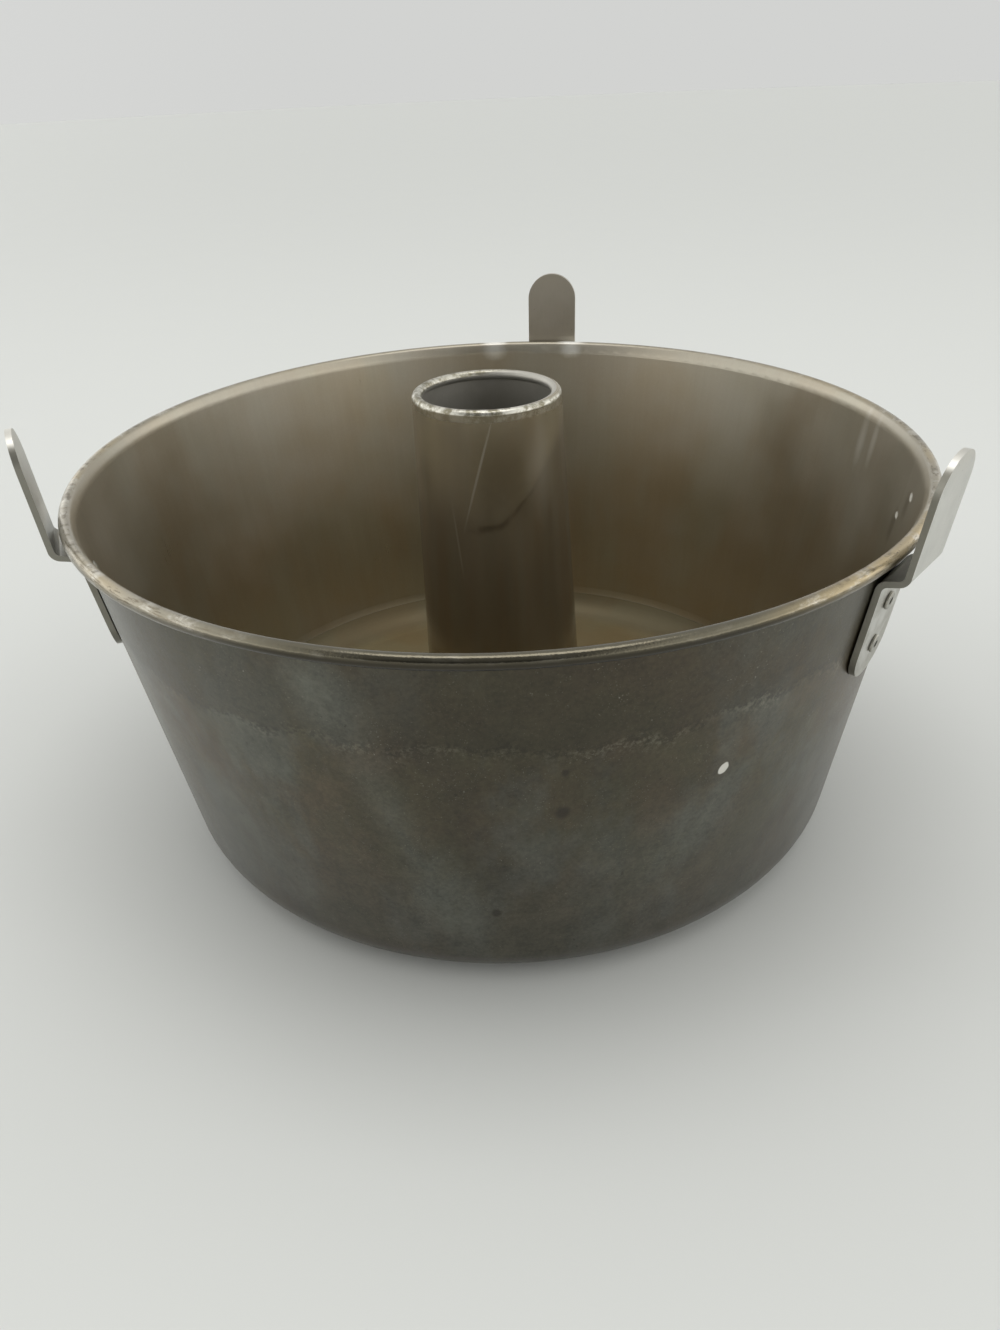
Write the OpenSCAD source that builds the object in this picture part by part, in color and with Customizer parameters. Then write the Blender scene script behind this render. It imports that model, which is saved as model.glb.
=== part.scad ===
// Angel food cake pan in two pieces that lift apart: a tapered pan with a wired rim and three
// riveted cooling legs, and a loose bottom plate that carries an open centre tube.
// Millimetres, +Z up. The origin is on the pan's axis, in the plane that the pan stands on.

/* [Pan shell] */
// Diameter over the rolled rim
rim_d = 254; // [200:1:320]
// Height from the table to the top of the rim
pan_h = 114.5; // [100:0.5:150]
// Lean of the wall from upright, in degrees
wall_lean = 8; // [2:0.5:14]
// Thickness of the wall's sheet
shell_t = 0.8; // [0.6:0.1:1.4]
// Outside radius of the bottom corner
corner_r = 14; // [11:0.5:20]
// Width of the flat ledge inside the bottom corner
ledge_w = 9; // [7:0.5:20]

/* [Wired rim] */
// Diameter of the wire inside the rolled rim
wire_d = 2; // [1.6:0.1:4]
// Clearance between the wire and the sheet rolled round it
wire_gap = 0.05; // [0.03:0.01:0.15]
// Inside radius of the flare where the wall turns into the roll
flare_r = 6.5; // [4.5:0.5:9]
// Angle that the flare turns before the tight roll starts, in degrees
flare_turn = 20; // [12:1:40]
// Length of the straight lip between the flare and the roll
lip_run = 0.8; // [0.7:0.1:1.5]
// Gap between the roll's cut edge and the flare
seam_gap = 0.3; // [0.1:0.05:0.8]

/* [Bottom plate] */
// Thickness of the plate's sheet
plate_t = 0.8; // [0.6:0.1:1.4]
// Height of the plate's turned-up edge above the table
plate_edge_h = 9; // [6:0.5:10]
// How much wider the plate's corner radius is than the shell's
plate_ease = 3; // [1:0.5:6]
// Gap between the plate's edge and the shell
plate_gap = 0.35; // [0.3:0.05:0.8]
// Diameter of the raised boss round the tube
boss_d = 84; // [74:1:110]
// Height of the raised boss
boss_h = 3; // [2:0.5:5]
// Slope of the boss's side, in degrees
boss_slope = 50; // [35:1:65]
// Height of the collar that stands up round the tube
collar_h = 3; // [2:0.5:8]

/* [Centre tube] */
// Thickness of the tube's sheet
tube_t = 0.8; // [0.6:0.1:1.2]
// Height of the tube's top above the table
tube_h = 131.5; // [118:0.5:138]
// Diameter over the tube's rolled top
tube_top_d = 44.6; // [34:0.2:50]
// Outside diameter of the tube at the plate
tube_base_d = 53.6; // [48:0.2:60]
// Outside radius of the roll at the tube's top
tube_roll_r = 1.5; // [1.3:0.1:2.5]
// Diameter of the flange under the plate
flange_d = 72; // [66:1:74]
// Clearance between the tube and the plate's collar
tube_gap = 0.05; // [0.03:0.01:0.2]

/* [Cooling legs] */
// Direction of the first leg, in degrees from the X axis
first_leg_angle = 90; // [0:1:119]
// How far the first leg sits off its even third of the circle, in degrees
first_leg_off = -1.5; // [-6:0.5:6]
// Width of a leg
leg_w = 19; // [12:0.5:26]
// Thickness of a leg
leg_t = 1.6; // [1:0.1:3]
// Height of the legs' tips above the table
leg_tip_h = 139.5; // [136:0.5:150]
// Height of a leg's lower end above the table
leg_low_h = 75; // [60:0.5:78]
// Height at which a leg turns out under the rim
leg_shelf_h = 105.5; // [101:0.5:106]
// Rise of the short shelf under the rim, in degrees
leg_shelf_rise = 15; // [0:1:20]
// Lean of a leg's upright, in degrees
leg_lean = 4.5; // [0:0.5:10]
// Gap between the rim and a leg's upright
leg_gap = 2.3; // [1.5:0.1:5]
// Radius of a leg's bends, on the strip's middle
leg_bend_r = 2.6; // [2:0.1:3]

/* [Rivets] */
// Diameter of a rivet's shank
rivet_d = 3.2; // [2.4:0.1:4]
// Diameter of a rivet's head inside the pan
rivet_head_d = 5.6; // [5:0.1:9]
// Height of a rivet's head
rivet_head_h = 0.9; // [0.8:0.1:2]
// Diameter of the collar rolled over outside the leg
rivet_tail_d = 4.9; // [4.4:0.1:7]
// Diameter of the hollow in the rolled end
rivet_hollow_d = 2; // [1:0.1:2.2]
// Height of a leg's lower end below its lower rivet
rivet_low = 9.7; // [8:0.1:13]
// Distance between a leg's two rivets
rivet_pitch = 13; // [8:0.5:16]
// Clearance round a rivet's shank and under its head
rivet_gap = 0.05; // [0.03:0.01:0.15]

/* [Hidden] */
$fn = 96;
// How far a bend's arc lies outside the one that would just touch the straight runs.
bend_ease = 0.01;

// The roll at the rim: its radii, and the lean of the sheet where the tight roll starts.
roll_in = wire_d / 2 + wire_gap;
roll_out = roll_in + shell_t;
roll_lean = wall_lean + flare_turn;
roll_r = rim_d / 2 - roll_out;
roll_z = pan_h - roll_out;

// The flare's centre, the length of the straight wall, and the bottom corner's centre.
flare_x = roll_r + (flare_r - roll_out) * cos(roll_lean) - lip_run * sin(roll_lean);
flare_z = roll_z - (flare_r - roll_out) * sin(roll_lean) - lip_run * cos(roll_lean);
wall_to_flare = corner_r + flare_r - shell_t;
wall_run = (flare_z - corner_r + wall_to_flare * sin(wall_lean)) / cos(wall_lean);
corner_x = flare_x - wall_to_flare * cos(wall_lean) - wall_run * sin(wall_lean);

// The roll goes on round the wire until its cut edge is the seam gap from the flare.
roll_arm = norm([flare_r - roll_out, lip_run]);
roll_left = acos((pow(flare_r - shell_t - seam_gap, 2) - pow(roll_arm, 2) - pow(roll_out, 2))
                 / (2 * roll_arm * roll_out));
roll_turn = 360 + atan(lip_run / (flare_r - roll_out)) - roll_left;

// The plate rests on the ledge. Its corner is a wider arc that ends close to the shell.
plate_corner_r = corner_r - shell_t + plate_ease;
plate_corner_z = corner_r + plate_ease;
plate_edge_x = corner_x - plate_gap
               + sqrt(pow(corner_r - shell_t, 2) - pow(corner_r - plate_edge_h, 2));
plate_edge_drop = plate_corner_z - plate_edge_h;
plate_corner_x = plate_edge_x - sqrt(pow(plate_corner_r, 2) - pow(plate_edge_drop, 2));
plate_corner_turn = 90 - asin(plate_edge_drop / plate_corner_r);
boss_under = shell_t + boss_h;
boss_bend_r = 1.5 * plate_t;

// The tube's outside line runs from its base to the outside of the roll at its top.
tube_roll_x = tube_top_d / 2 - tube_roll_r;
tube_roll_z = tube_h - tube_roll_r;
tube_reach = norm([tube_base_d / 2 - tube_roll_x, tube_roll_z - boss_under]);
tube_lean = atan((tube_base_d / 2 - tube_roll_x) / (tube_roll_z - boss_under))
            - asin(tube_roll_r / tube_reach);
foot_r = plate_t + tube_gap + boss_bend_r;
foot_tangent = foot_r / tan((90 + tube_lean) / 2);
tube_run = sqrt(pow(tube_reach, 2) - pow(tube_roll_r, 2)) - foot_tangent;
tube_roll_past = 70;

// A leg's strip: its seat on the wall, its bends, and the lengths between them.
leg_seat = 0.05;
leg_low_x = seat_x(leg_low_h);
leg_shelf_x = seat_x(leg_shelf_h);
shelf_steep = 90 - leg_shelf_rise;
shelf_run = (upright_x(leg_shelf_h) - leg_shelf_x)
            / (cos(leg_shelf_rise) - sin(leg_shelf_rise) * tan(leg_lean));
upright_low_h = leg_shelf_h + shelf_run * sin(leg_shelf_rise);
lower_trim = leg_bend_r * tan((shelf_steep - wall_lean) / 2);
upper_trim = leg_bend_r * tan((shelf_steep - leg_lean) / 2);
plate_run = (leg_shelf_h - leg_low_h) / cos(wall_lean) - lower_trim;
upright_run = (leg_tip_h - upright_low_h) / cos(leg_lean) - upper_trim;

// Direction of a leg: 0 is the first one.
function leg_angle(i) = first_leg_angle + i * 120 + (i == 0 ? first_leg_off : 0);

// Radius of the wall's outside at a height, on its straight part.
function wall_x(z) = corner_x + (corner_r + (z - corner_r) * sin(wall_lean)) / cos(wall_lean);

// Radius of the middle of a leg's riveted plate, and of its upright, at a height.
function seat_x(z) = wall_x(z) + (leg_seat + leg_t / 2) / cos(wall_lean);
function upright_x(z) = rim_d / 2 + (leg_gap + leg_t / 2) / cos(leg_lean) + (z - roll_z) * tan(leg_lean);

// Height of a rivet above the table: 0 is the lower one and 1 the upper one.
function rivet_z(i) = leg_low_h + (rivet_low + i * rivet_pitch) * cos(wall_lean);

// Part of a flat ring round the origin, from one angle to another.
module ring_sector(r_in, r_out, from, to) {
    steps = ceil((to - from) / 45);
    reach = 2 * r_out;
    intersection() {
        difference() {
            circle(r = r_out);
            circle(r = r_in);
        }
        polygon(concat([[0, 0]], [for (i = [0 : steps])
            let (a = from + (to - from) * i / steps) [reach * cos(a), reach * sin(a)]]));
    }
}

// A bent sheet seen on edge. It starts at the origin and heads along +Y. Each step is the
// length of a straight run, then the turn and the middle radius of the bend at its end. A turn
// is to the right, or to the left where it is negative. Each bend lies a hair outside the arc
// that would just touch the straight runs, and runs and bend reach into one another there.
module bent_sheet(t, steps, i = 0, back = 0) {
    run = steps[i][0];
    turn = steps[i][1];
    r = steps[i][2];
    bite = turn == 0 ? 0 : sqrt(2 * bend_ease * r);
    translate([-t / 2, -back]) square([t, back + run + bite]);
    if (turn != 0) translate([turn < 0 ? -r : r, run]) {
        r_in = r - t / 2 + bend_ease;
        start = asin(bite / r);
        end = abs(turn) + (i + 1 < len(steps) ? start : 0);
        if (turn > 0) ring_sector(r_in, r_in + t, 180 - end, 180 + start);
        else ring_sector(r_in, r_in + t, -start, end);
        if (i + 1 < len(steps)) rotate(-turn) translate([turn < 0 ? r : -r, 0])
            bent_sheet(t, steps, i + 1, bite);
    }
}

// Puts a child where a rivet goes, with +Z along the rivet, out through the leg.
module at_rivet(i) {
    translate([seat_x(rivet_z(i)), 0, rivet_z(i)])
        rotate([0, wall_lean + 90, 0]) children();
}

module pan_shell() {
    color([0.40, 0.39, 0.35]) difference() {
        rotate_extrude() translate([corner_x - ledge_w, shell_t / 2]) rotate(-90)
            bent_sheet(shell_t, [
                [ledge_w, wall_lean - 90, corner_r - shell_t / 2],
                [wall_run, flare_turn, flare_r - shell_t / 2],
                [lip_run, roll_turn, roll_in + shell_t / 2]]);
        for (leg = [0 : 2], i = [0 : 1])
            rotate(leg_angle(leg)) at_rivet(i)
                translate([0, 0, -leg_t / 2 - 3 * shell_t])
                    cylinder(d = rivet_d + 2 * rivet_gap, h = 4 * shell_t);
    }
}

module rim_wire() {
    color([0.55, 0.55, 0.53]) rotate_extrude()
        translate([roll_r, roll_z]) circle(d = wire_d);
}

module bottom_plate() {
    // The collar starts at its top and runs down the tube, and the sheet then runs outward.
    bend = boss_bend_r + plate_t / 2;
    tube_side = tube_gap + plate_t / 2;
    collar_x = tube_base_d / 2 + foot_tangent - (foot_r - tube_side) * cos(tube_lean);
    collar_z = boss_under + foot_r - (foot_r - tube_side) * sin(tube_lean);
    flat_x = tube_base_d / 2 + foot_tangent;
    step_trim = bend * tan(boss_slope / 2);
    step_run = boss_h / sin(boss_slope) - 2 * step_trim;
    boss_run = boss_d / 2 - flat_x - step_trim;
    floor_run = plate_corner_x - boss_d / 2 - boss_h / tan(boss_slope) - step_trim;
    color([0.62, 0.56, 0.46]) rotate_extrude()
        translate([collar_x - collar_h * sin(tube_lean), collar_z + collar_h * cos(tube_lean)])
            rotate(tube_lean - 180) bent_sheet(plate_t, [
                [collar_h, tube_lean - 90, foot_r - tube_side],
                [boss_run, boss_slope, bend],
                [step_run, -boss_slope, bend],
                [floor_run, -plate_corner_turn, plate_corner_r - plate_t / 2]]);
}

module centre_tube() {
    color([0.45, 0.39, 0.31]) rotate_extrude()
        translate([flange_d / 2, boss_under - tube_t / 2]) rotate(90)
            bent_sheet(tube_t, [
                [flange_d / 2 - tube_base_d / 2 - foot_tangent, 90 - tube_lean, foot_r + tube_t / 2],
                [tube_run, tube_lean - 180 - tube_roll_past, tube_roll_r - tube_t / 2]]);
}

// A leg's outline seen from outside the pan: a strip with a round end at the bottom and top.
module leg_outline() {
    r = leg_w / 2;
    translate([0, leg_low_h + r]) circle(r = r);
    translate([-r, leg_low_h + r]) square([leg_w, leg_tip_h - leg_low_h - leg_w]);
    translate([0, leg_tip_h - r]) circle(r = r);
}

// The bent strip is made too wide and too long, and the outline cuts it out.
module leg(i) {
    spare = 2 * leg_t;
    color([0.68, 0.68, 0.65]) rotate(leg_angle(i)) difference() {
        intersection() {
            rotate([90, 0, 0]) linear_extrude(leg_w + 2 * spare, center = true)
                translate([leg_low_x - spare * sin(wall_lean), leg_low_h - spare * cos(wall_lean)])
                    rotate(-wall_lean) bent_sheet(leg_t, [
                        [plate_run + spare, shelf_steep - wall_lean, leg_bend_r],
                        [shelf_run - lower_trim - upper_trim, leg_lean - shelf_steep, leg_bend_r],
                        [upright_run + spare, 0]]);
            rotate([90, 0, 90]) linear_extrude(rim_d) leg_outline();
        }
        for (k = [0 : 1]) at_rivet(k)
            cylinder(d = rivet_d + 2 * rivet_gap, h = 2 * leg_t, center = true);
    }
}

// A semi-tubular rivet: a low domed head inside the pan, and a rolled hollow end outside.
module rivet(leg, i) {
    tail_r = (rivet_tail_d - rivet_d) / 4;
    under_head = -leg_t / 2 - leg_seat - shell_t - rivet_gap;
    dome_r = (pow(rivet_head_d / 2, 2) + pow(rivet_head_h, 2)) / (2 * rivet_head_h);
    color([0.62, 0.61, 0.58]) rotate(leg_angle(leg)) at_rivet(i) difference() {
        union() {
            translate([0, 0, under_head]) cylinder(d = rivet_d, h = leg_t / 2 - under_head + tail_r);
            intersection() {
                translate([0, 0, under_head - rivet_head_h + dome_r]) sphere(r = dome_r);
                translate([0, 0, under_head - 2 * rivet_head_h])
                    cylinder(d = 2 * rivet_head_d, h = 2 * rivet_head_h);
            }
            rotate_extrude() translate([0, leg_t / 2]) {
                square([rivet_tail_d / 2 - tail_r, 2 * tail_r]);
                translate([rivet_tail_d / 2 - tail_r, tail_r]) circle(r = tail_r);
            }
        }
        translate([0, 0, leg_t / 2 - leg_t]) cylinder(d = rivet_hollow_d, h = 2 * leg_t);
    }
}

pan_shell();
rim_wire();
bottom_plate();
centre_tube();
leg(0);  // leg_back
leg(1);  // leg_left
leg(2);  // leg_right
rivet(0, 0);  // rivet_back_lower
rivet(0, 1);  // rivet_back_upper
rivet(1, 0);  // rivet_left_lower
rivet(1, 1);  // rivet_left_upper
rivet(2, 0);  // rivet_right_lower
rivet(2, 1);  // rivet_right_upper
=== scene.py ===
import math

import bpy
from mathutils import Matrix, Vector


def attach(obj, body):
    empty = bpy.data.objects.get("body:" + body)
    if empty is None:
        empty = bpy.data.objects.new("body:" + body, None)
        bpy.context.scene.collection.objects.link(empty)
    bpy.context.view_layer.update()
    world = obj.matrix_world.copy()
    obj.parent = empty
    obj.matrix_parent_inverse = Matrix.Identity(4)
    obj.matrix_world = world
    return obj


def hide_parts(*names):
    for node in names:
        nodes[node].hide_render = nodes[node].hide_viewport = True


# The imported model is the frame. All lengths here are in metres unless a name ends in _MM.
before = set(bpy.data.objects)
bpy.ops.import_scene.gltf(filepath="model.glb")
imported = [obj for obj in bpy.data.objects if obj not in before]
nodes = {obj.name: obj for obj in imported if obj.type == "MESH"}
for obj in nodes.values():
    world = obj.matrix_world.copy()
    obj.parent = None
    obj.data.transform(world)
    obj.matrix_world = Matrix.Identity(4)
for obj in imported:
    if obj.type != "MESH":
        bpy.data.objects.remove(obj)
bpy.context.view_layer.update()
scene = bpy.context.scene

# The rolled rim's centre line, seen in a cut through the axis, and how far its rubbed part reaches.
ROLL_R_MM = 125.15
ROLL_Z_MM = 112.65
BEAD_REACH_MM = (3.1, 2.1)
BEAD_INNER_R_MM = (123.4, 124.6)

# The dark band on the outer wall: where it ends, and how far its edge wanders up the wall.
BAND_END_MM = 78.0
BAND_WANDER_MM = 16.0

# The mouth of the tube, rubbed bare above this height and outside this radius.
MOUTH_Z_MM = (127.8, 128.6)
MOUTH_R_MM = (19.2, 20.0)
TUBE_RADIUS_MM = 23.0

# The tube's lean, between its foot and its mouth, towards the camera's left.
TUBE_LEAN = 0.0024
TUBE_LEAN_FROM_Z = 0.004
TUBE_LEAN_RISE = 0.1255

# The right leg's upright: bent out above one height, and turned on its own line above another.
LEG_ANGLE = math.radians(330)
LEG_BENT_OUT = math.radians(2.34)
LEG_TURNED = math.radians(2.76)
LEG_DROP = 0.0017
LEG_BEND_Z = 0.107
LEG_RISE = 0.0325
LEG_TURN_Z = 0.103
LEG_TURN_RISE = 0.008
LEG_MIDDLE_R = 0.12966

# The floor, just under the pan.
FLOOR_RADIUS = 6.0
FLOOR_Z = -0.0002

# The sky's brightness: the whole sky low down, and what is added or taken away in its parts.
SKY_LOW = 0.70
SKY_OVERHEAD = 0.30
SKY_LOW_SIDES = 0.7
SKY_SIDES = 0.60
SKY_FRONT = 0.66
SEEN_LEVEL = 0.662
SEEN_SIDES = 0.032

# The camera: 31.5 degrees down, close and rolled a little. TURN is the angle of its right, round
# the pan's axis.
PITCH = 0.5493
YAW = 0.0035
ROLL = -0.0447
TURN = math.radians(10)
EYE = (-0.00305, -0.29608, 0.21648)
SENSOR = 36
FOCUS_PX = 1000.7
FRAME_TALL_PX = 1330


def srgb(r, g, b):
    """A colour as it is read on a screen, 0 to 255, as the linear colour that a shader takes."""
    out = []
    for v in (r, g, b):
        v = v / 255
        out.append(v / 12.92 if v <= 0.04045 else ((v + 0.055) / 1.055) ** 2.4)
    return (*out, 1.0)


# Colours, as they read on a screen
BARE = srgb(206, 202, 192)
INSIDE_BROWN = srgb(158, 144, 118)
INSIDE_OLIVE = srgb(159, 151, 129)
INSIDE_GREY = srgb(168, 163, 152)
# Painted shadow under the bright dots on the inner wall.
DOT_SHADOW_BROWN = srgb(92, 84, 68)
OUT_OLIVE = srgb(76, 71, 51)
OUT_BROWN = srgb(84, 73, 55)
OUT_BLUE = srgb(95, 98, 91)
OUT_BAND = srgb(60, 54, 39)
# Painted reflection of the pale floor, low on the outer wall.
OUT_LOW_REFLECTION = srgb(82, 80, 73)
OUT_RUBBED = srgb(112, 116, 108)
OUT_SHADED = srgb(62, 57, 44)
OUT_PALE = srgb(136, 133, 118)
OUT_FLECK = srgb(150, 147, 134)
SOOT = srgb(40, 34, 26)
CHALK = srgb(214, 211, 202)
LIP_WHITE = srgb(232, 230, 222)
FLOOR_COLOUR = srgb(215, 216, 213)
SKY_COLOUR = srgb(252, 253, 251)


class Paint:
    """A node material, with short names for the nodes that the finishes here are made of.
    Places are in millimetres in the pan's own frame."""

    def __init__(self, name, metallic=1.0):
        self.mat = bpy.data.materials.new(name)
        self.mat.use_nodes = True
        self.tree = self.mat.node_tree
        self.shader = self.tree.nodes["Principled BSDF"]
        self.shader.inputs["Metallic"].default_value = metallic
        coords = self.tree.nodes.new("ShaderNodeTexCoord")
        self.mm = self.scaled(coords.outputs["Object"], 1000)
        self.x, self.y, self.z = self.split(self.mm)
        self.nx, self.ny, self.nz = self.split(coords.outputs["Normal"])
        self.r = self.length(self.x, self.y)
        # How far the surface faces away from the axis: 1 outwards, -1 inwards.
        self.outward = self.math("DIVIDE", self.dot(self.nx, self.x, self.ny, self.y), self.r)

    def link(self, a, b):
        self.tree.links.new(a, b)

    def put(self, value, socket):
        if isinstance(value, (int, float, tuple)):
            socket.default_value = value
        else:
            self.link(value, socket)

    def math(self, op, a, b=None, clamp=False):
        n = self.tree.nodes.new("ShaderNodeMath")
        n.operation = op
        n.use_clamp = clamp
        self.put(a, n.inputs[0])
        if b is not None:
            self.put(b, n.inputs[1])
        return n.outputs[0]

    def add(self, a, b, clamp=False):
        return self.math("ADD", a, b, clamp)

    def minus(self, a, b):
        return self.math("SUBTRACT", a, b)

    def both(self, a, *rest):
        for b in rest:
            a = self.math("MULTIPLY", a, b)
        return a

    def most(self, a, *rest):
        for b in rest:
            a = self.math("MAXIMUM", a, b)
        return a

    def dot(self, a, b, c, d):
        """a times b, and c times d added."""
        return self.add(self.both(a, b), self.both(c, d))

    def length(self, a, b):
        return self.math("SQRT", self.dot(a, a, b, b))

    def swing(self, noise, size):
        """A noise about its middle: from half of size below nothing to half above."""
        return self.both(self.minus(noise, 0.5), size)

    def scaled(self, where, scale):
        n = self.tree.nodes.new("ShaderNodeVectorMath")
        n.operation = "SCALE"
        self.put(where, n.inputs[0])
        self.put(scale, n.inputs["Scale"])
        return n.outputs[0]

    def split(self, where):
        n = self.tree.nodes.new("ShaderNodeSeparateXYZ")
        self.link(where, n.inputs[0])
        return n.outputs

    def join(self, x, y, z):
        n = self.tree.nodes.new("ShaderNodeCombineXYZ")
        for v, s in zip((x, y, z), n.inputs):
            self.put(v, s)
        return n.outputs[0]

    def step(self, value, low, high):
        """0 below low, 1 above high, smooth between. low may be the larger one."""
        n = self.tree.nodes.new("ShaderNodeMapRange")
        n.interpolation_type = "SMOOTHSTEP"
        self.put(value, n.inputs["Value"])
        self.put(float(low), n.inputs["From Min"])
        self.put(float(high), n.inputs["From Max"])
        return n.outputs["Result"]

    def noise(self, where, scale=1.0, detail=3.0, rough=0.55, seed=0.0):
        n = self.tree.nodes.new("ShaderNodeTexNoise")
        n.noise_dimensions = "4D"
        self.put(where, n.inputs["Vector"])
        n.inputs["W"].default_value = seed
        n.inputs["Scale"].default_value = scale
        n.inputs["Detail"].default_value = detail
        n.inputs["Roughness"].default_value = rough
        return n.outputs[0]

    def wrap(self, along, round_):
        """The pan's surface as a place for a texture: round_ stretches it round the axis, along
        up the wall. It has no seam."""
        k = self.math("DIVIDE", float(round_) * 120, self.r)
        return self.join(self.both(self.x, k), self.both(self.y, k), self.both(self.z, float(along)))

    def mix(self, amount, a, b, how="MIX"):
        n = self.tree.nodes.new("ShaderNodeMix")
        n.data_type = "RGBA"
        n.blend_type = how
        n.clamp_factor = True
        self.put(amount, n.inputs[0])
        self.put(a, n.inputs[6])
        self.put(b, n.inputs[7])
        return n.outputs[2]

    def blend(self, amount, a, b):
        n = self.tree.nodes.new("ShaderNodeMix")
        n.data_type = "FLOAT"
        n.clamp_factor = True
        self.put(amount, n.inputs[0])
        self.put(a, n.inputs[2])
        self.put(b, n.inputs[3])
        return n.outputs[0]

    def shaded(self, colour, shade, tint=(1.0, 1.0, 1.0)):
        """The colour times shade, with its red, green and blue also times tint."""
        return self.mix(1.0, colour, self.join(*(self.both(shade, t) for t in tint)), "MULTIPLY")

    def spot(self, angle, height, wide, tall, soft=0.35, lean=0.0, radius=117.0):
        """A mark on the wall, by its angle in degrees and its height in mm: 1 inside, 0 outside."""
        a = math.radians(angle)
        across = self.dot(self.x, -math.sin(a), self.y, math.cos(a))
        near = self.dot(self.x, math.cos(a), self.y, math.sin(a))
        up = self.minus(self.z, height)
        c, s = math.cos(math.radians(lean)), math.sin(math.radians(lean))
        u = self.dot(across, c / wide, up, s / wide)
        v = self.dot(across, -s / tall, up, c / tall)
        wobble = self.swing(self.noise(self.mm, 0.5, 2), 0.5)
        inside = self.step(self.add(self.length(u, v), wobble), 1 + soft, 1 - soft)
        return self.both(inside, self.step(near, radius * 0.5, radius * 0.8))

    def bump(self, height, mm=0.1, strength=1.0):
        n = self.tree.nodes.new("ShaderNodeBump")
        n.inputs["Strength"].default_value = strength
        n.inputs["Distance"].default_value = mm / 1000
        self.put(height, n.inputs["Height"])
        return n.outputs[0]

    def coat(self, weight, rough):
        """A thin clear film over the finish."""
        self.shader.inputs["Coat Weight"].default_value = weight
        self.shader.inputs["Coat Roughness"].default_value = rough

    def dull(self, level):
        """Less of the mirror-like part of a surface that isn't bare metal."""
        self.shader.inputs["Specular IOR Level"].default_value = level

    def finish(self, colour, rough, normal=None, metallic=None):
        self.put(colour, self.shader.inputs["Base Color"])
        self.put(rough, self.shader.inputs["Roughness"])
        if normal is not None:
            self.link(normal, self.shader.inputs["Normal"])
        if metallic is not None:
            self.put(metallic, self.shader.inputs["Metallic"])
        return self.mat


def baked_inside(p, gloss_low, gloss_high, flat=False):
    """The warm film that baking leaves on the inner faces: browner low down, clearer near the
    rim, with faint runs. gloss_low and gloss_high are the roughness of its shiny and dull parts.
    On a flat piece the pattern isn't drawn out up a wall."""
    def place(along, round_):
        return p.scaled(p.mm, min(round_, 0.8)) if flat else p.wrap(along, round_)

    cloud = p.noise(place(0.022, 0.02), 1, 4, 0.55, 3)
    drift = p.noise(place(0.016, 0.035), 1, 3, 0.5, 5)
    runs = p.noise(place(0.012, 0.3), 1, 3, 0.6, 7)
    fine = p.noise(place(0.06, 1.7), 1, 3, 0.6, 9)
    grain = p.noise(p.mm, 1.1, 3, 0.6, 11)
    dents = p.noise(place(0.02, 0.10), 1, 2, 0.5, 12)
    high = p.step(p.z, 30, 120)
    grey = p.add(p.both(high, 0.6), p.swing(cloud, 1.3), clamp=True)
    colour = p.mix(p.step(drift, 0.4, 0.62), INSIDE_BROWN, INSIDE_OLIVE)
    colour = p.mix(grey, colour, INSIDE_GREY)
    shade = p.add(p.blend(fine, 0.95, 1.03), p.swing(runs, 0.11))
    colour = p.shaded(colour, p.add(shade, p.swing(grain, 0.10)))
    rough = p.add(p.blend(p.step(cloud, 0.3, 0.7), gloss_low, gloss_high), p.both(fine, 0.08))
    relief = p.dot(dents, 0.6, fine, 0.03)
    return colour, rough, relief


def outside_clouds_and_reflection(p):
    """Olive and brown clouds with bluish places, greyer low down: painted reflection of the pale floor.
    """
    cloud = p.noise(p.wrap(0.035, 0.032), 1, 5, 0.62, 21)
    blue = p.noise(p.wrap(0.022, 0.040), 1, 4, 0.6, 25)
    colour = p.mix(p.step(cloud, 0.36, 0.64), OUT_OLIVE, OUT_BROWN)
    colour = p.mix(p.both(p.step(blue, 0.46, 0.64), 0.58), colour, OUT_BLUE)
    # Greyer low down: painted reflection of the pale floor.
    colour = p.mix(p.both(p.step(p.z, 70, 10), 0.55), colour, OUT_LOW_REFLECTION)
    return cloud, colour


def outside_band(p, colour, tone, grain):
    """The darker band under the rim. It ends at a height that wanders round the pan, in a broken
    pale line with crust above it."""
    wave = p.noise(p.wrap(0.03, 0.05), 1, 3, 0.6, 33)
    broken = p.noise(p.wrap(0.02, 0.06), 1, 2, 0.5, 35)
    above = p.minus(p.z, p.add(BAND_END_MM, p.both(wave, BAND_WANDER_MM)))
    colour = p.mix(p.both(p.step(above, -1.0, 1.4), p.blend(tone, 0.2, 0.8)), colour, OUT_BAND)
    line = p.both(p.step(above, -5.0, -0.6), p.step(above, 1.0, -0.6), p.step(grain, 0.45, 0.66),
                  p.step(broken, 0.38, 0.56))
    colour = p.mix(p.both(line, 0.35), colour, OUT_PALE)
    crust = p.both(p.step(above, -2.6, -0.4), p.step(above, 2.2, 0.2), p.step(grain, 0.54, 0.46))
    return p.mix(p.both(crust, 0.32), colour, SOOT)


def outside_rubbing_and_shade(p, colour):
    """Slanting rubbed places that cross the front, and painted shade between them."""
    rub = p.most(p.spot(-100.0, 99.0, 6.5, 15.0, 0.9, 22),
                 p.both(p.spot(-95.5, 70.0, 5.0, 22.0, 0.9, 16), 0.6),
                 p.both(p.spot(-90.0, 34.0, 6.0, 20.0, 0.9, 14), 0.6),
                 p.both(p.spot(-62.0, 46.0, 20.0, 12.0, 0.9, 20), 0.5))
    colour = p.mix(p.both(rub, 0.42), colour, OUT_RUBBED)
    # Painted shade between the rubbed places.
    between = p.most(p.spot(-89.0, 84.0, 4.5, 20.0, 0.9, 20),
                     p.both(p.spot(-84.0, 50.0, 5.0, 26.0, 0.9, 16), 0.8))
    return p.mix(p.both(between, 0.4), colour, OUT_SHADED)


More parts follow.
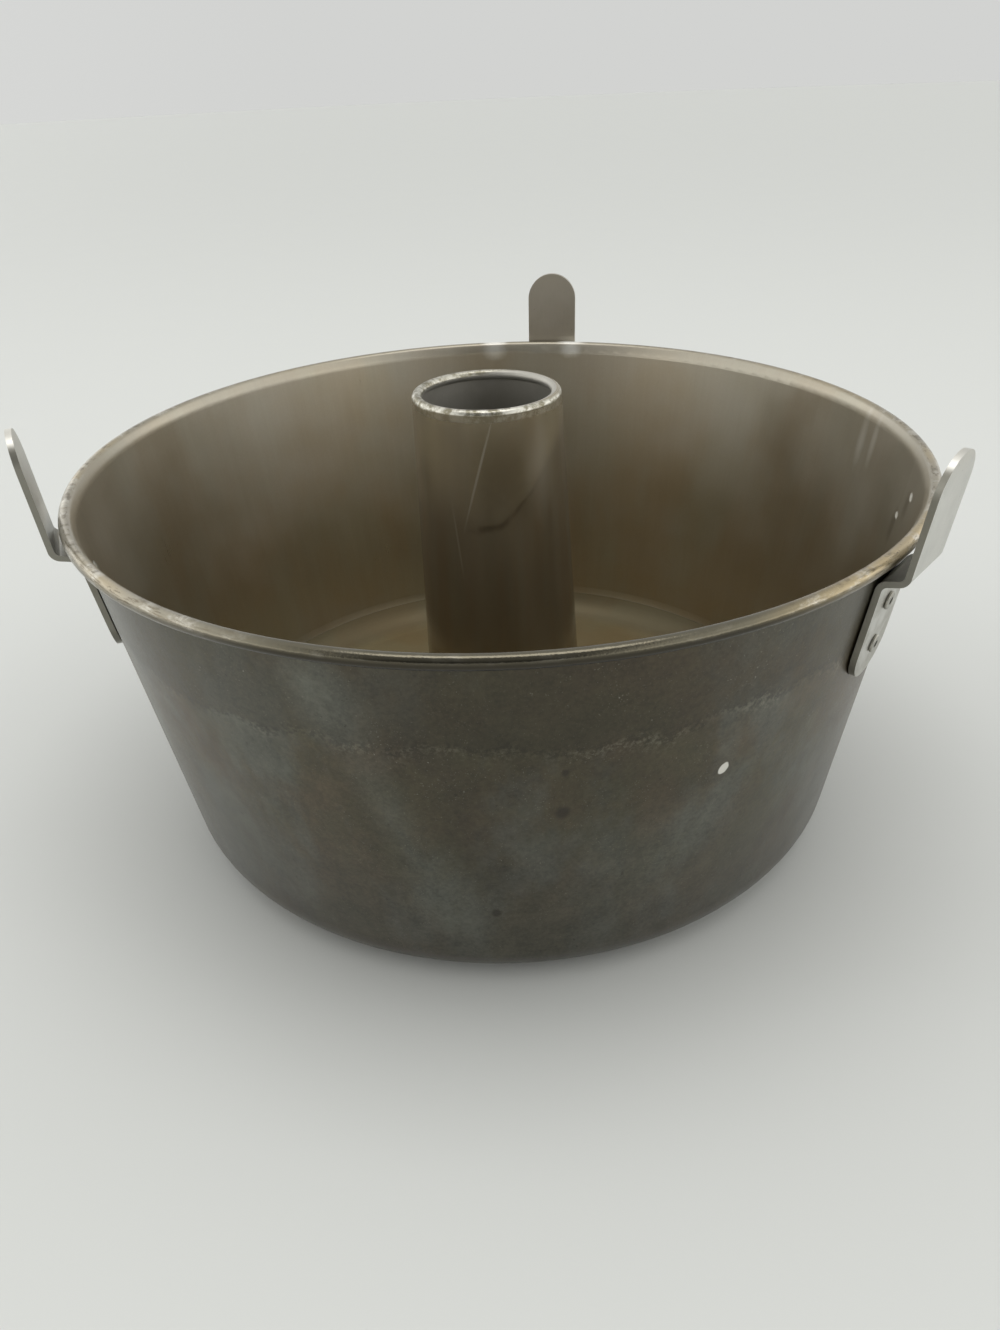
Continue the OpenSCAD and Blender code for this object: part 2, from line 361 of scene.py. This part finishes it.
def outside_specks(p, colour, speck):
    """Fine pale specks in crowds, larger flecks that are denser high up, and dark specks."""
    crowd = p.step(p.noise(p.mm, 0.12, 3, 0.6, 37), 0.45, 0.62)
    colour = p.mix(p.both(p.step(speck, 0.62, 0.72), p.blend(crowd, 0.15, 0.6)), colour, OUT_PALE)
    flecks = p.both(p.step(p.noise(p.mm, 1.15, 2, 0.6, 39), 0.69, 0.75), p.blend(crowd, 0.1, 1.0),
                    p.blend(p.step(p.z, 40, 85), 0.35, 1.0))
    colour = p.mix(p.both(flecks, 0.7), colour, OUT_FLECK)
    dark = p.step(p.noise(p.mm, 0.55, 2, 0.5, 41), 0.70, 0.76)
    return p.mix(p.both(dark, 0.5), colour, SOOT)


def outside_patina_and_painted_light(p):
    """The dark oven patina of the outer wall, with a flake of something white and soot spots."""
    tone = p.noise(p.wrap(0.10, 0.10), 1, 5, 0.68, 31)
    grain = p.noise(p.mm, 0.9, 4, 0.7, 27)
    speck = p.noise(p.mm, 2.6, 2, 0.6, 29)
    cloud, colour = outside_clouds_and_reflection(p)
    colour = outside_band(p, colour, tone, grain)
    colour = outside_rubbing_and_shade(p, colour)
    shade = p.add(p.blend(p.step(grain, 0.3, 0.7), 0.80, 1.20), p.swing(tone, 1.3))
    # Painted shade, darkest on the front, under the middle of the rim.
    middle = p.both(p.spot(-79.0, 78.0, 36.0, 36.0, 0.9), 0.30)
    colour = p.shaded(colour, p.both(shade, p.minus(1.0, middle)))
    colour = outside_specks(p, colour, speck)
    soot = p.most(p.spot(-74.8, 65.6, 1.7, 1.8, 0.5), p.spot(-74.6, 78.5, 0.9, 1.1, 0.5),
                  p.spot(-83.1, 29.7, 1.2, 1.5, 0.5))
    flake = p.spot(-54.8, 68.3, 1.35, 1.85, 0.12, -20)
    colour = p.mix(p.both(soot, 0.75), colour, SOOT)
    colour = p.mix(flake, colour, CHALK)
    rough = p.add(p.blend(cloud, 0.36, 0.48), p.swing(grain, 0.25))
    relief = p.dot(grain, 0.35, speck, 0.2)
    return colour, rough, relief, flake


def worn_bead_and_painted_light(p):
    """The rolled edge: polished and plain in front, scuffed and brassy at the sides, with pits, darker
    in front and paler behind as painted reflection, and its lower half darker with painted shade."""
    tone = p.noise(p.wrap(0.1, 0.02), 1, 2, 0.5, 51)
    patch = p.noise(p.wrap(0.5, 0.16), 1, 4, 0.65, 53)
    scrape = p.noise(p.wrap(2.6, 0.22), 1, 3, 0.6, 57)
    pit = p.noise(p.mm, 1.7, 3, 0.6, 59)
    behind = p.step(p.y, -10, 70)
    sideways = p.math("ABSOLUTE", p.add(p.x, p.both(p.y, 0.18)))
    scuffed = p.both(p.step(sideways, 44, 92), p.blend(behind, 1.0, 0.35))
    # Darker in front and paler behind: painted reflection.
    plain = p.mix(behind, srgb(92, 87, 72), srgb(146, 139, 122))
    brass = p.mix(p.step(tone, 0.42, 0.58), srgb(154, 147, 131), srgb(178, 160, 124))
    colour = p.mix(scuffed, plain, brass)
    bright = p.both(p.step(patch, 0.5, 0.7), p.blend(scuffed, 0.1, 0.75))
    colour = p.mix(bright, colour, BARE)
    scraped = p.both(p.step(scrape, 0.50, 0.64), p.blend(scuffed, 0.15, 0.8))
    colour = p.mix(scraped, colour, srgb(100, 88, 66))
    pitted = p.both(p.step(pit, 0.64, 0.72), p.blend(scuffed, 0.3, 0.8))
    colour = p.mix(pitted, colour, SOOT)
    chalk = p.both(p.step(p.noise(p.wrap(0.4, 0.3), 1, 3, 0.6, 63), 0.72, 0.79), 0.5, scuffed)
    colour = p.mix(chalk, colour, CHALK)
    # Its lower half keeps the film, with painted shade where it faces down.
    under = p.both(p.step(p.nz, 0.45, -0.05), p.blend(scuffed, 0.95, 0.35),
                   p.step(p.outward, 0.1, 0.5))
    colour = p.mix(under, colour, srgb(52, 47, 36))
    rough = p.blend(p.most(scuffed, behind), 0.13, p.blend(patch, 0.42, 0.28))
    rough = p.add(rough, p.both(chalk, 0.3))
    relief = p.dot(patch, 0.6, pit, 0.3)
    return colour, rough, relief


def pan_finish():
    """The shell: the film inside, the patina outside and the rubbed rolled edge."""
    p = Paint("pan_patina_and_painted_light")
    out_colour, out_rough, out_relief, flake = outside_patina_and_painted_light(p)
    in_colour, in_rough, in_relief = baked_inside(p, 0.24, 0.40)
    bead_colour, bead_rough, bead_relief = worn_bead_and_painted_light(p)
    # Bright dots on the inner wall at the right, painted glints, with painted shadows under them,
    # and smudges near the rim.
    glint_dots = p.most(p.spot(-4.1, 103.2, 1.7, 1.2, 0.3), p.spot(0.0, 94.0, 1.4, 1.0, 0.3))
    runs = p.most(p.spot(-3.0, 99.5, 1.9, 3.2, 0.9), p.spot(0.6, 90.5, 1.8, 4.0, 0.9))
    smudge = p.most(p.spot(19.2, 104.0, 1.6, 7.0, 0.8), p.spot(15.8, 104.5, 1.3, 6.0, 0.8),
                    p.both(p.spot(99.0, 111.6, 3.6, 2.6, 0.7), 1.8),
                    p.both(p.spot(84.5, 111.8, 3.4, 2.2, 0.7), 1.8))
    # Painted shadows under the bright dots.
    in_colour = p.mix(p.both(runs, 0.45), in_colour, DOT_SHADOW_BROWN)
    in_colour = p.mix(p.both(smudge, 0.5), in_colour, CHALK)
    in_colour = p.mix(glint_dots, in_colour, CHALK)
    outside = p.step(p.outward, -0.05, 0.05)
    colour = p.mix(outside, in_colour, out_colour)
    rough = p.blend(outside, in_rough, out_rough)
    relief = p.blend(outside, in_relief, out_relief)
    # The bead, by the distance from the middle of the rolled edge, with a border that wanders.
    from_roll = p.length(p.minus(p.r, ROLL_R_MM), p.minus(p.z, ROLL_Z_MM))
    wander = p.swing(p.noise(p.wrap(0.5, 0.3), 1, 3, 0.6, 71), 1.6)
    bead = p.both(p.step(p.add(from_roll, wander), *BEAD_REACH_MM), p.step(p.r, *BEAD_INNER_R_MM))
    # Two white marks on its back.
    lip = p.most(p.spot(99.0, 113.6, 4.2, 2.6, 0.6), p.spot(84.5, 113.6, 4.6, 2.6, 0.6))
    colour = p.mix(bead, colour, p.mix(lip, bead_colour, LIP_WHITE))
    rough = p.blend(bead, rough, bead_rough)
    relief = p.blend(bead, relief, bead_relief)
    not_metal = p.most(flake, glint_dots, p.both(lip, bead))
    metallic = p.blend(not_metal, p.blend(bead, 0.78, 0.95), 0.1)
    p.coat(0.42, 0.22)
    return p.finish(colour, rough, p.bump(relief, 0.25, 0.6), metallic)


def plate_finish():
    """The loose bottom: the same baked film, browner, with faint turned rings and a dark edge."""
    p = Paint("plate_patina")
    colour, rough, relief = baked_inside(p, 0.38, 0.46, flat=True)
    rings = p.noise(p.join(p.both(p.r, 1.4), 0.0, 0.0), 1, 3, 0.6, 85)
    shade = p.both(p.blend(rings, 0.60, 0.72), p.blend(p.step(p.r, 93, 100), 1.12, 0.62))
    colour = p.shaded(colour, shade, (1.0, 0.94, 0.76))
    relief = p.add(relief, p.both(rings, 0.12))
    p.dull(0.25)
    return p.finish(colour, rough, p.bump(relief, 0.2, 0.4), 0.45)


def tube_film_and_sheen(p, colour, rough):
    """The film on the tube: thick, glossy and darker below a slanting line, thin, dull and paler above
    it, partly as painted reflection, with a dark crease along the line, a stain, a darker patch in the
    middle and a painted highlight above it."""
    across = p.dot(p.x, math.cos(TURN), p.y, math.sin(TURN))
    line = p.add(98.0, p.both(p.step(across, -2.0, 26.0), 27.0))
    wavy = p.swing(p.noise(p.mm, 0.06, 3, 0.6, 88), 9.0)
    above = p.add(p.minus(p.z, line), wavy)
    faint = p.step(across, -4.0, 6.0)
    thin = p.both(p.step(above, -3.0, 3.0), p.blend(faint, p.step(above, -8.0, 20.0), 1.0))
    stain = p.step(p.noise(p.mm, 0.045, 3, 0.6, 86), 0.40, 0.62)
    thin = p.both(thin, p.blend(stain, 1.0, 0.45))
    # Darker below the line and paler above it: a tide line in the film, partly painted reflection.
    colour = p.mix(p.both(p.minus(1.0, thin), 0.4), colour, srgb(126, 113, 89))
    colour = p.mix(p.both(thin, 0.65), colour, srgb(170, 159, 133))
    crease = p.both(p.step(above, -3.4, -1.8), p.step(above, -0.2, -1.4),
                    p.step(across, -12.0, -6.0), p.step(across, 16.0, 6.0),
                    p.step(p.noise(p.mm, 0.2, 2, 0.5, 84), 0.3, 0.6))
    colour = p.mix(p.both(crease, 0.45), colour, srgb(70, 60, 42))
    dark_patch = p.spot(-74.0, 114.0, 8.0, 11.0, 0.9, 0, TUBE_RADIUS_MM)
    colour = p.mix(p.both(dark_patch, 0.5), colour, srgb(92, 80, 56))
    # A painted highlight on the front of the tube.
    highlight_patch = p.spot(-46.0, 113.0, 3.6, 11.0, 0.9, 0, TUBE_RADIUS_MM)
    colour = p.mix(p.both(highlight_patch, 0.4), colour, BARE)
    return colour, p.blend(thin, rough, 0.27)


def tube_finish():
    """The centre tube: glossy brown film outside, grey inside, and a mouth rubbed to bare metal."""
    p = Paint("tube_patina_and_painted_light")
    colour, rough, relief = baked_inside(p, 0.10, 0.20)
    colour, rough = tube_film_and_sheen(p, colour, rough)
    inner = p.step(p.outward, 0.05, -0.05)
    grey = p.mix(p.noise(p.mm, 0.2, 3, 0.6, 87), srgb(168, 164, 154), srgb(190, 187, 180))
    colour = p.mix(inner, colour, grey)
    rough = p.blend(inner, rough, 0.5)
    # Fine scratches down the front of the tube.
    scratch = p.most(p.spot(-95.0, 113.0, 0.35, 14.5, 0.5, -15.8, TUBE_RADIUS_MM),
                     p.both(p.spot(-112.0, 92.0, 0.3, 10.0, 0.5, 7, 24.0), 0.5))
    colour = p.mix(p.both(scratch, 0.6), colour, BARE)
    mouth = p.both(p.step(p.z, *MOUTH_Z_MM), p.step(p.r, *MOUTH_R_MM), p.step(p.nz, -0.15, 0.3))
    patch = p.noise(p.mm, 0.45, 4, 0.65, 81)
    pit = p.noise(p.mm, 1.9, 3, 0.6, 83)
    mouth_wear_and_shade = p.mix(p.step(patch, 0.40, 0.60), srgb(132, 126, 108), srgb(204, 201, 190))
    # Darker at the back of the mouth: painted shade.
    mouth_wear_and_shade = p.mix(p.both(p.step(p.y, 4, 20), 0.45), mouth_wear_and_shade, srgb(150, 145, 128))
    mouth_wear_and_shade = p.mix(p.both(p.step(pit, 0.62, 0.72), 0.6), mouth_wear_and_shade, srgb(96, 88, 70))
    colour = p.mix(mouth, colour, mouth_wear_and_shade)
    rough = p.blend(mouth, rough, p.blend(patch, 0.45, 0.28))
    relief = p.blend(mouth, relief, p.dot(patch, 0.5, pit, 0.4))
    return p.finish(colour, rough, p.bump(relief, 0.2, 0.45), p.blend(mouth, 0.8, 1.0))


def leg_finish():
    """Plain strip, drawn lengthwise, dulled by handling, with rubbed tips and duller cut edges.
    The back leg is stained browner."""
    p = Paint("leg_strip_worn")
    lengthwise = p.join(p.both(p.x, 2.2), p.both(p.y, 2.2), p.both(p.z, 0.06))
    drawn = p.noise(lengthwise, 1, 3, 0.6, 91)
    cloud = p.noise(p.mm, 0.12, 3, 0.6, 93)
    pit = p.noise(p.mm, 1.3, 3, 0.6, 95)
    colour = p.mix(cloud, srgb(192, 191, 185), srgb(226, 225, 220))
    colour = p.shaded(colour, p.blend(drawn, 0.86, 1.08))
    colour = p.mix(p.both(p.step(pit, 0.66, 0.75), 0.6), colour, srgb(96, 90, 76))
    tip = p.step(p.add(p.z, p.both(cloud, 12.0)), 136, 146)
    colour = p.mix(p.both(tip, 0.6), colour, BARE)
    low = p.both(p.step(p.z, 108, 96), p.step(cloud, 0.35, 0.6), 0.5)
    colour = p.mix(low, colour, srgb(132, 127, 112))
    colour = p.mix(p.both(p.step(p.y, 60, 100), 0.6), colour, srgb(150, 138, 118))
    along_rim = p.math("DIVIDE", p.minus(p.both(p.ny, p.x), p.both(p.nx, p.y)), p.r)
    cut = p.both(p.step(p.math("ABSOLUTE", along_rim), 0.55, 0.8), p.step(p.y, 60, 50))
    colour = p.mix(p.both(cut, 0.85), colour, srgb(124, 121, 110))
    rough = p.add(p.blend(cloud, 0.28, 0.4), p.both(drawn, 0.12))
    return p.finish(colour, rough, p.bump(p.dot(drawn, 0.3, pit, 0.25), 0.15, 0.5))


def rivet_finish():
    """Dull rivets, with dark pits."""
    p = Paint("rivet_worn")
    cloud = p.noise(p.mm, 0.6, 3, 0.6, 101)
    pit = p.noise(p.mm, 2.2, 3, 0.6, 103)
    colour = p.mix(cloud, srgb(126, 123, 112), srgb(196, 194, 186))
    colour = p.mix(p.both(p.step(pit, 0.6, 0.7), 0.7), colour, srgb(62, 55, 44))
    return p.finish(colour, p.blend(cloud, 0.45, 0.28), p.bump(p.add(cloud, pit), 0.12, 0.5))


def wire_finish():
    """Drawn wire with a little rust."""
    p = Paint("rim_wire_drawn")
    drawn = p.noise(p.wrap(3.0, 0.05), 1, 3, 0.6, 111)
    rust = p.noise(p.mm, 0.5, 3, 0.6, 113)
    colour = p.mix(drawn, srgb(126, 122, 114), srgb(168, 164, 154))
    colour = p.mix(p.step(rust, 0.55, 0.7), colour, srgb(110, 78, 52))
    return p.finish(colour, p.blend(rust, 0.35, 0.6), p.bump(drawn, 0.08, 0.4))


finishes = {
    "pan_shell": pan_finish(),
    "bottom_plate": plate_finish(),
    "centre_tube": tube_finish(),
    "rim_wire": wire_finish(),
}
leg_mat = leg_finish()
rivet_mat = rivet_finish()
for name, obj in nodes.items():
    mat = finishes.get(name) or (leg_mat if name.startswith("leg") else rivet_mat)
    for s in obj.material_slots:
        s.material = mat


def bent(node, name, body, change):
    """A copy of a CAD node with each of its points moved by change, in place of the node."""
    obj = bpy.data.objects.new(name, nodes[node].data.copy())
    scene.collection.objects.link(obj)
    for v in obj.data.vertices:
        v.co = change(v.co)
    obj.data.update()
    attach(obj, body)
    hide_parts(node)


def leaning(co):
    """A point of the tube, moved by the lean at its height."""
    k = TUBE_LEAN * min(max((co.z - TUBE_LEAN_FROM_Z) / TUBE_LEAN_RISE, 0.0), 1.0)
    return co - k * Vector((math.cos(TURN), math.sin(TURN), 0.0))


def knocked(co):
    """A point of the right leg, where its upright is bent out, turned and a little lower."""
    c, s = math.cos(LEG_ANGLE), math.sin(LEG_ANGLE)
    r, t, z = co.x * c + co.y * s, co.y * c - co.x * s, co.z
    h = max(z - LEG_BEND_Z, 0.0)
    r += h * math.tan(LEG_BENT_OUT)
    z -= LEG_DROP * h / LEG_RISE
    f = min(max((co.z - LEG_TURN_Z) / LEG_TURN_RISE, 0.0), 1.0)
    w = LEG_TURNED * f * f * (3 - 2 * f)
    d = r - LEG_MIDDLE_R
    r, t = LEG_MIDDLE_R + d * math.cos(w) + t * math.sin(w), t * math.cos(w) - d * math.sin(w)
    return Vector((r * c - t * s, r * s + t * c, z))


bent("centre_tube", "centre_tube_leaning", "insert", leaning)
bent("leg_right", "leg_right_knocked", "pan", knocked)


def disc(name, radius, z, rings=24, steps=96):
    """A flat round floor, with rings of faces that grow outwards."""
    verts, faces = [(0, 0, z)], []
    for i in range(rings):
        r = radius * ((i + 1) / rings) ** 2
        for j in range(steps):
            angle = 2 * math.pi * j / steps
            verts.append((r * math.cos(angle), r * math.sin(angle), z))
    for j in range(steps):
        faces.append((0, 1 + j, 1 + (j + 1) % steps))
    for i in range(1, rings):
        a, b = 1 + (i - 1) * steps, 1 + i * steps
        for j in range(steps):
            k = (j + 1) % steps
            faces.append((a + j, b + j, b + k, a + k))
    mesh = bpy.data.meshes.new(name)
    mesh.from_pydata(verts, [], faces)
    for poly in mesh.polygons:
        poly.use_smooth = True
    obj = bpy.data.objects.new(name, mesh)
    scene.collection.objects.link(obj)
    return obj


# A plain pale sheet, matt.
floor = disc("studio_floor", FLOOR_RADIUS, FLOOR_Z)
sheet = Paint("studio_sheet", metallic=0.0)
sheet.dull(0.15)
sheet.finish(FLOOR_COLOUR, sheet.blend(sheet.noise(sheet.mm, 0.02, 2), 0.5, 0.6))
floor.data.materials.append(sheet.mat)

# Plain soft light from a pale sky, brighter overhead and at the sides than in front.
sky = bpy.data.worlds.new("studio_sky")
scene.world = sky
sky.use_nodes = True
sky_tree = sky.node_tree


def sky_put(value, socket):
    if isinstance(value, (int, float)):
        socket.default_value = value
    else:
        sky_tree.links.new(value, socket)


def sky_math(op, a, *rest):
    """The same operation on a and each of the rest in turn."""
    for b in rest:
        n = sky_tree.nodes.new("ShaderNodeMath")
        n.operation = op
        sky_put(a, n.inputs[0])
        sky_put(b, n.inputs[1])
        a = n.outputs[0]
    return a


def sky_step(value, low, high):
    """0 below low, 1 above high, smooth between. low may be the larger one."""
    n = sky_tree.nodes.new("ShaderNodeMapRange")
    n.interpolation_type = "SMOOTHSTEP"
    sky_put(value, n.inputs["Value"])
    n.inputs["From Min"].default_value = low
    n.inputs["From Max"].default_value = high
    return n.outputs[0]


way = sky_tree.nodes.new("ShaderNodeSeparateXYZ")
sky_tree.links.new(sky_tree.nodes.new("ShaderNodeTexCoord").outputs["Generated"], way.inputs[0])
east, north, high = way.outputs
sideways = sky_math("MAXIMUM", east, sky_math("MULTIPLY", east, -1.0))
beside = sky_step(sideways, 0.3, 0.8)
overhead = sky_step(high, 0.25, 0.95)
low_band = sky_math("MULTIPLY", sky_step(high, 0.02, 0.10), sky_step(high, 0.42, 0.25), beside)
at_side = sky_math("MULTIPLY", beside, sky_step(high, 0.04, 0.22), sky_step(high, 0.95, 0.75))
# In front, a darker patch as wide as a person who stands there.
in_front = sky_math("MULTIPLY", sky_step(sky_math("MULTIPLY", north, -1.0), 0.05, 0.25),
                    sky_step(sideways, 0.66, 0.36), sky_step(high, 0.12, 0.32))
level = sky_math("ADD", SKY_LOW, sky_math("MULTIPLY", overhead, SKY_OVERHEAD),
                 sky_math("MULTIPLY", low_band, SKY_LOW_SIDES),
                 sky_math("MULTIPLY", at_side, SKY_SIDES))
level = sky_math("SUBTRACT", level, sky_math("MULTIPLY", in_front, SKY_FRONT))
# What the camera sees behind the floor is as light as the floor there.
floor_level = sky_math("ADD", SEEN_LEVEL,
                       sky_math("MULTIPLY", sky_step(sideways, 0.3, 0.6), SEEN_SIDES))
seen = sky_tree.nodes.new("ShaderNodeLightPath")
plain = sky_tree.nodes.new("ShaderNodeMix")
plain.data_type = "FLOAT"
sky_tree.links.new(seen.outputs["Is Camera Ray"], plain.inputs[0])
sky_tree.links.new(level, plain.inputs[2])
sky_tree.links.new(floor_level, plain.inputs[3])
back = sky_tree.nodes["Background"]
back.inputs["Color"].default_value = SKY_COLOUR
sky_tree.links.new(plain.outputs[0], back.inputs["Strength"])


def lamp(name, place, aim, power, wide, tall):
    light = bpy.data.lights.new(name, "AREA")
    light.shape = "RECTANGLE"
    light.size = wide
    light.size_y = tall
    light.energy = power
    obj = bpy.data.objects.new(name, light)
    obj.location = place
    obj.rotation_euler = (Vector(aim) - Vector(place)).to_track_quat("-Z", "Y").to_euler()
    obj.visible_camera = False
    scene.collection.objects.link(obj)


lamp("lamp_top", place=(0.0, 0.0, 1.2), aim=(0.0, 0.0, 0.0), power=2.9, wide=0.8, tall=0.5)


def place_camera():
    """The camera, where the photograph was taken from."""
    ahead = Vector((math.sin(YAW) * math.cos(PITCH), math.cos(YAW) * math.cos(PITCH), -math.sin(PITCH)))
    side = Vector((math.cos(YAW), -math.sin(YAW), 0))
    over = side.cross(ahead)
    right = math.cos(ROLL) * side + math.sin(ROLL) * over
    up = -math.sin(ROLL) * side + math.cos(ROLL) * over
    turn = Matrix.Rotation(TURN, 3, "Z")
    right, up, ahead, eye = turn @ right, turn @ up, turn @ ahead, turn @ Vector(EYE)
    lens = bpy.data.cameras.new("photo_camera")
    lens.sensor_width = SENSOR
    lens.sensor_fit = "AUTO"
    lens.lens = SENSOR * FOCUS_PX / FRAME_TALL_PX
    lens.clip_start = 0.001
    camera = bpy.data.objects.new("photo_camera", lens)
    scene.collection.objects.link(camera)
    camera.matrix_world = Matrix(((right.x, up.x, -ahead.x, eye.x), (right.y, up.y, -ahead.y, eye.y),
                                  (right.z, up.z, -ahead.z, eye.z), (0, 0, 0, 1)))
    scene.camera = camera


place_camera()
scene.view_settings.view_transform = "Standard"
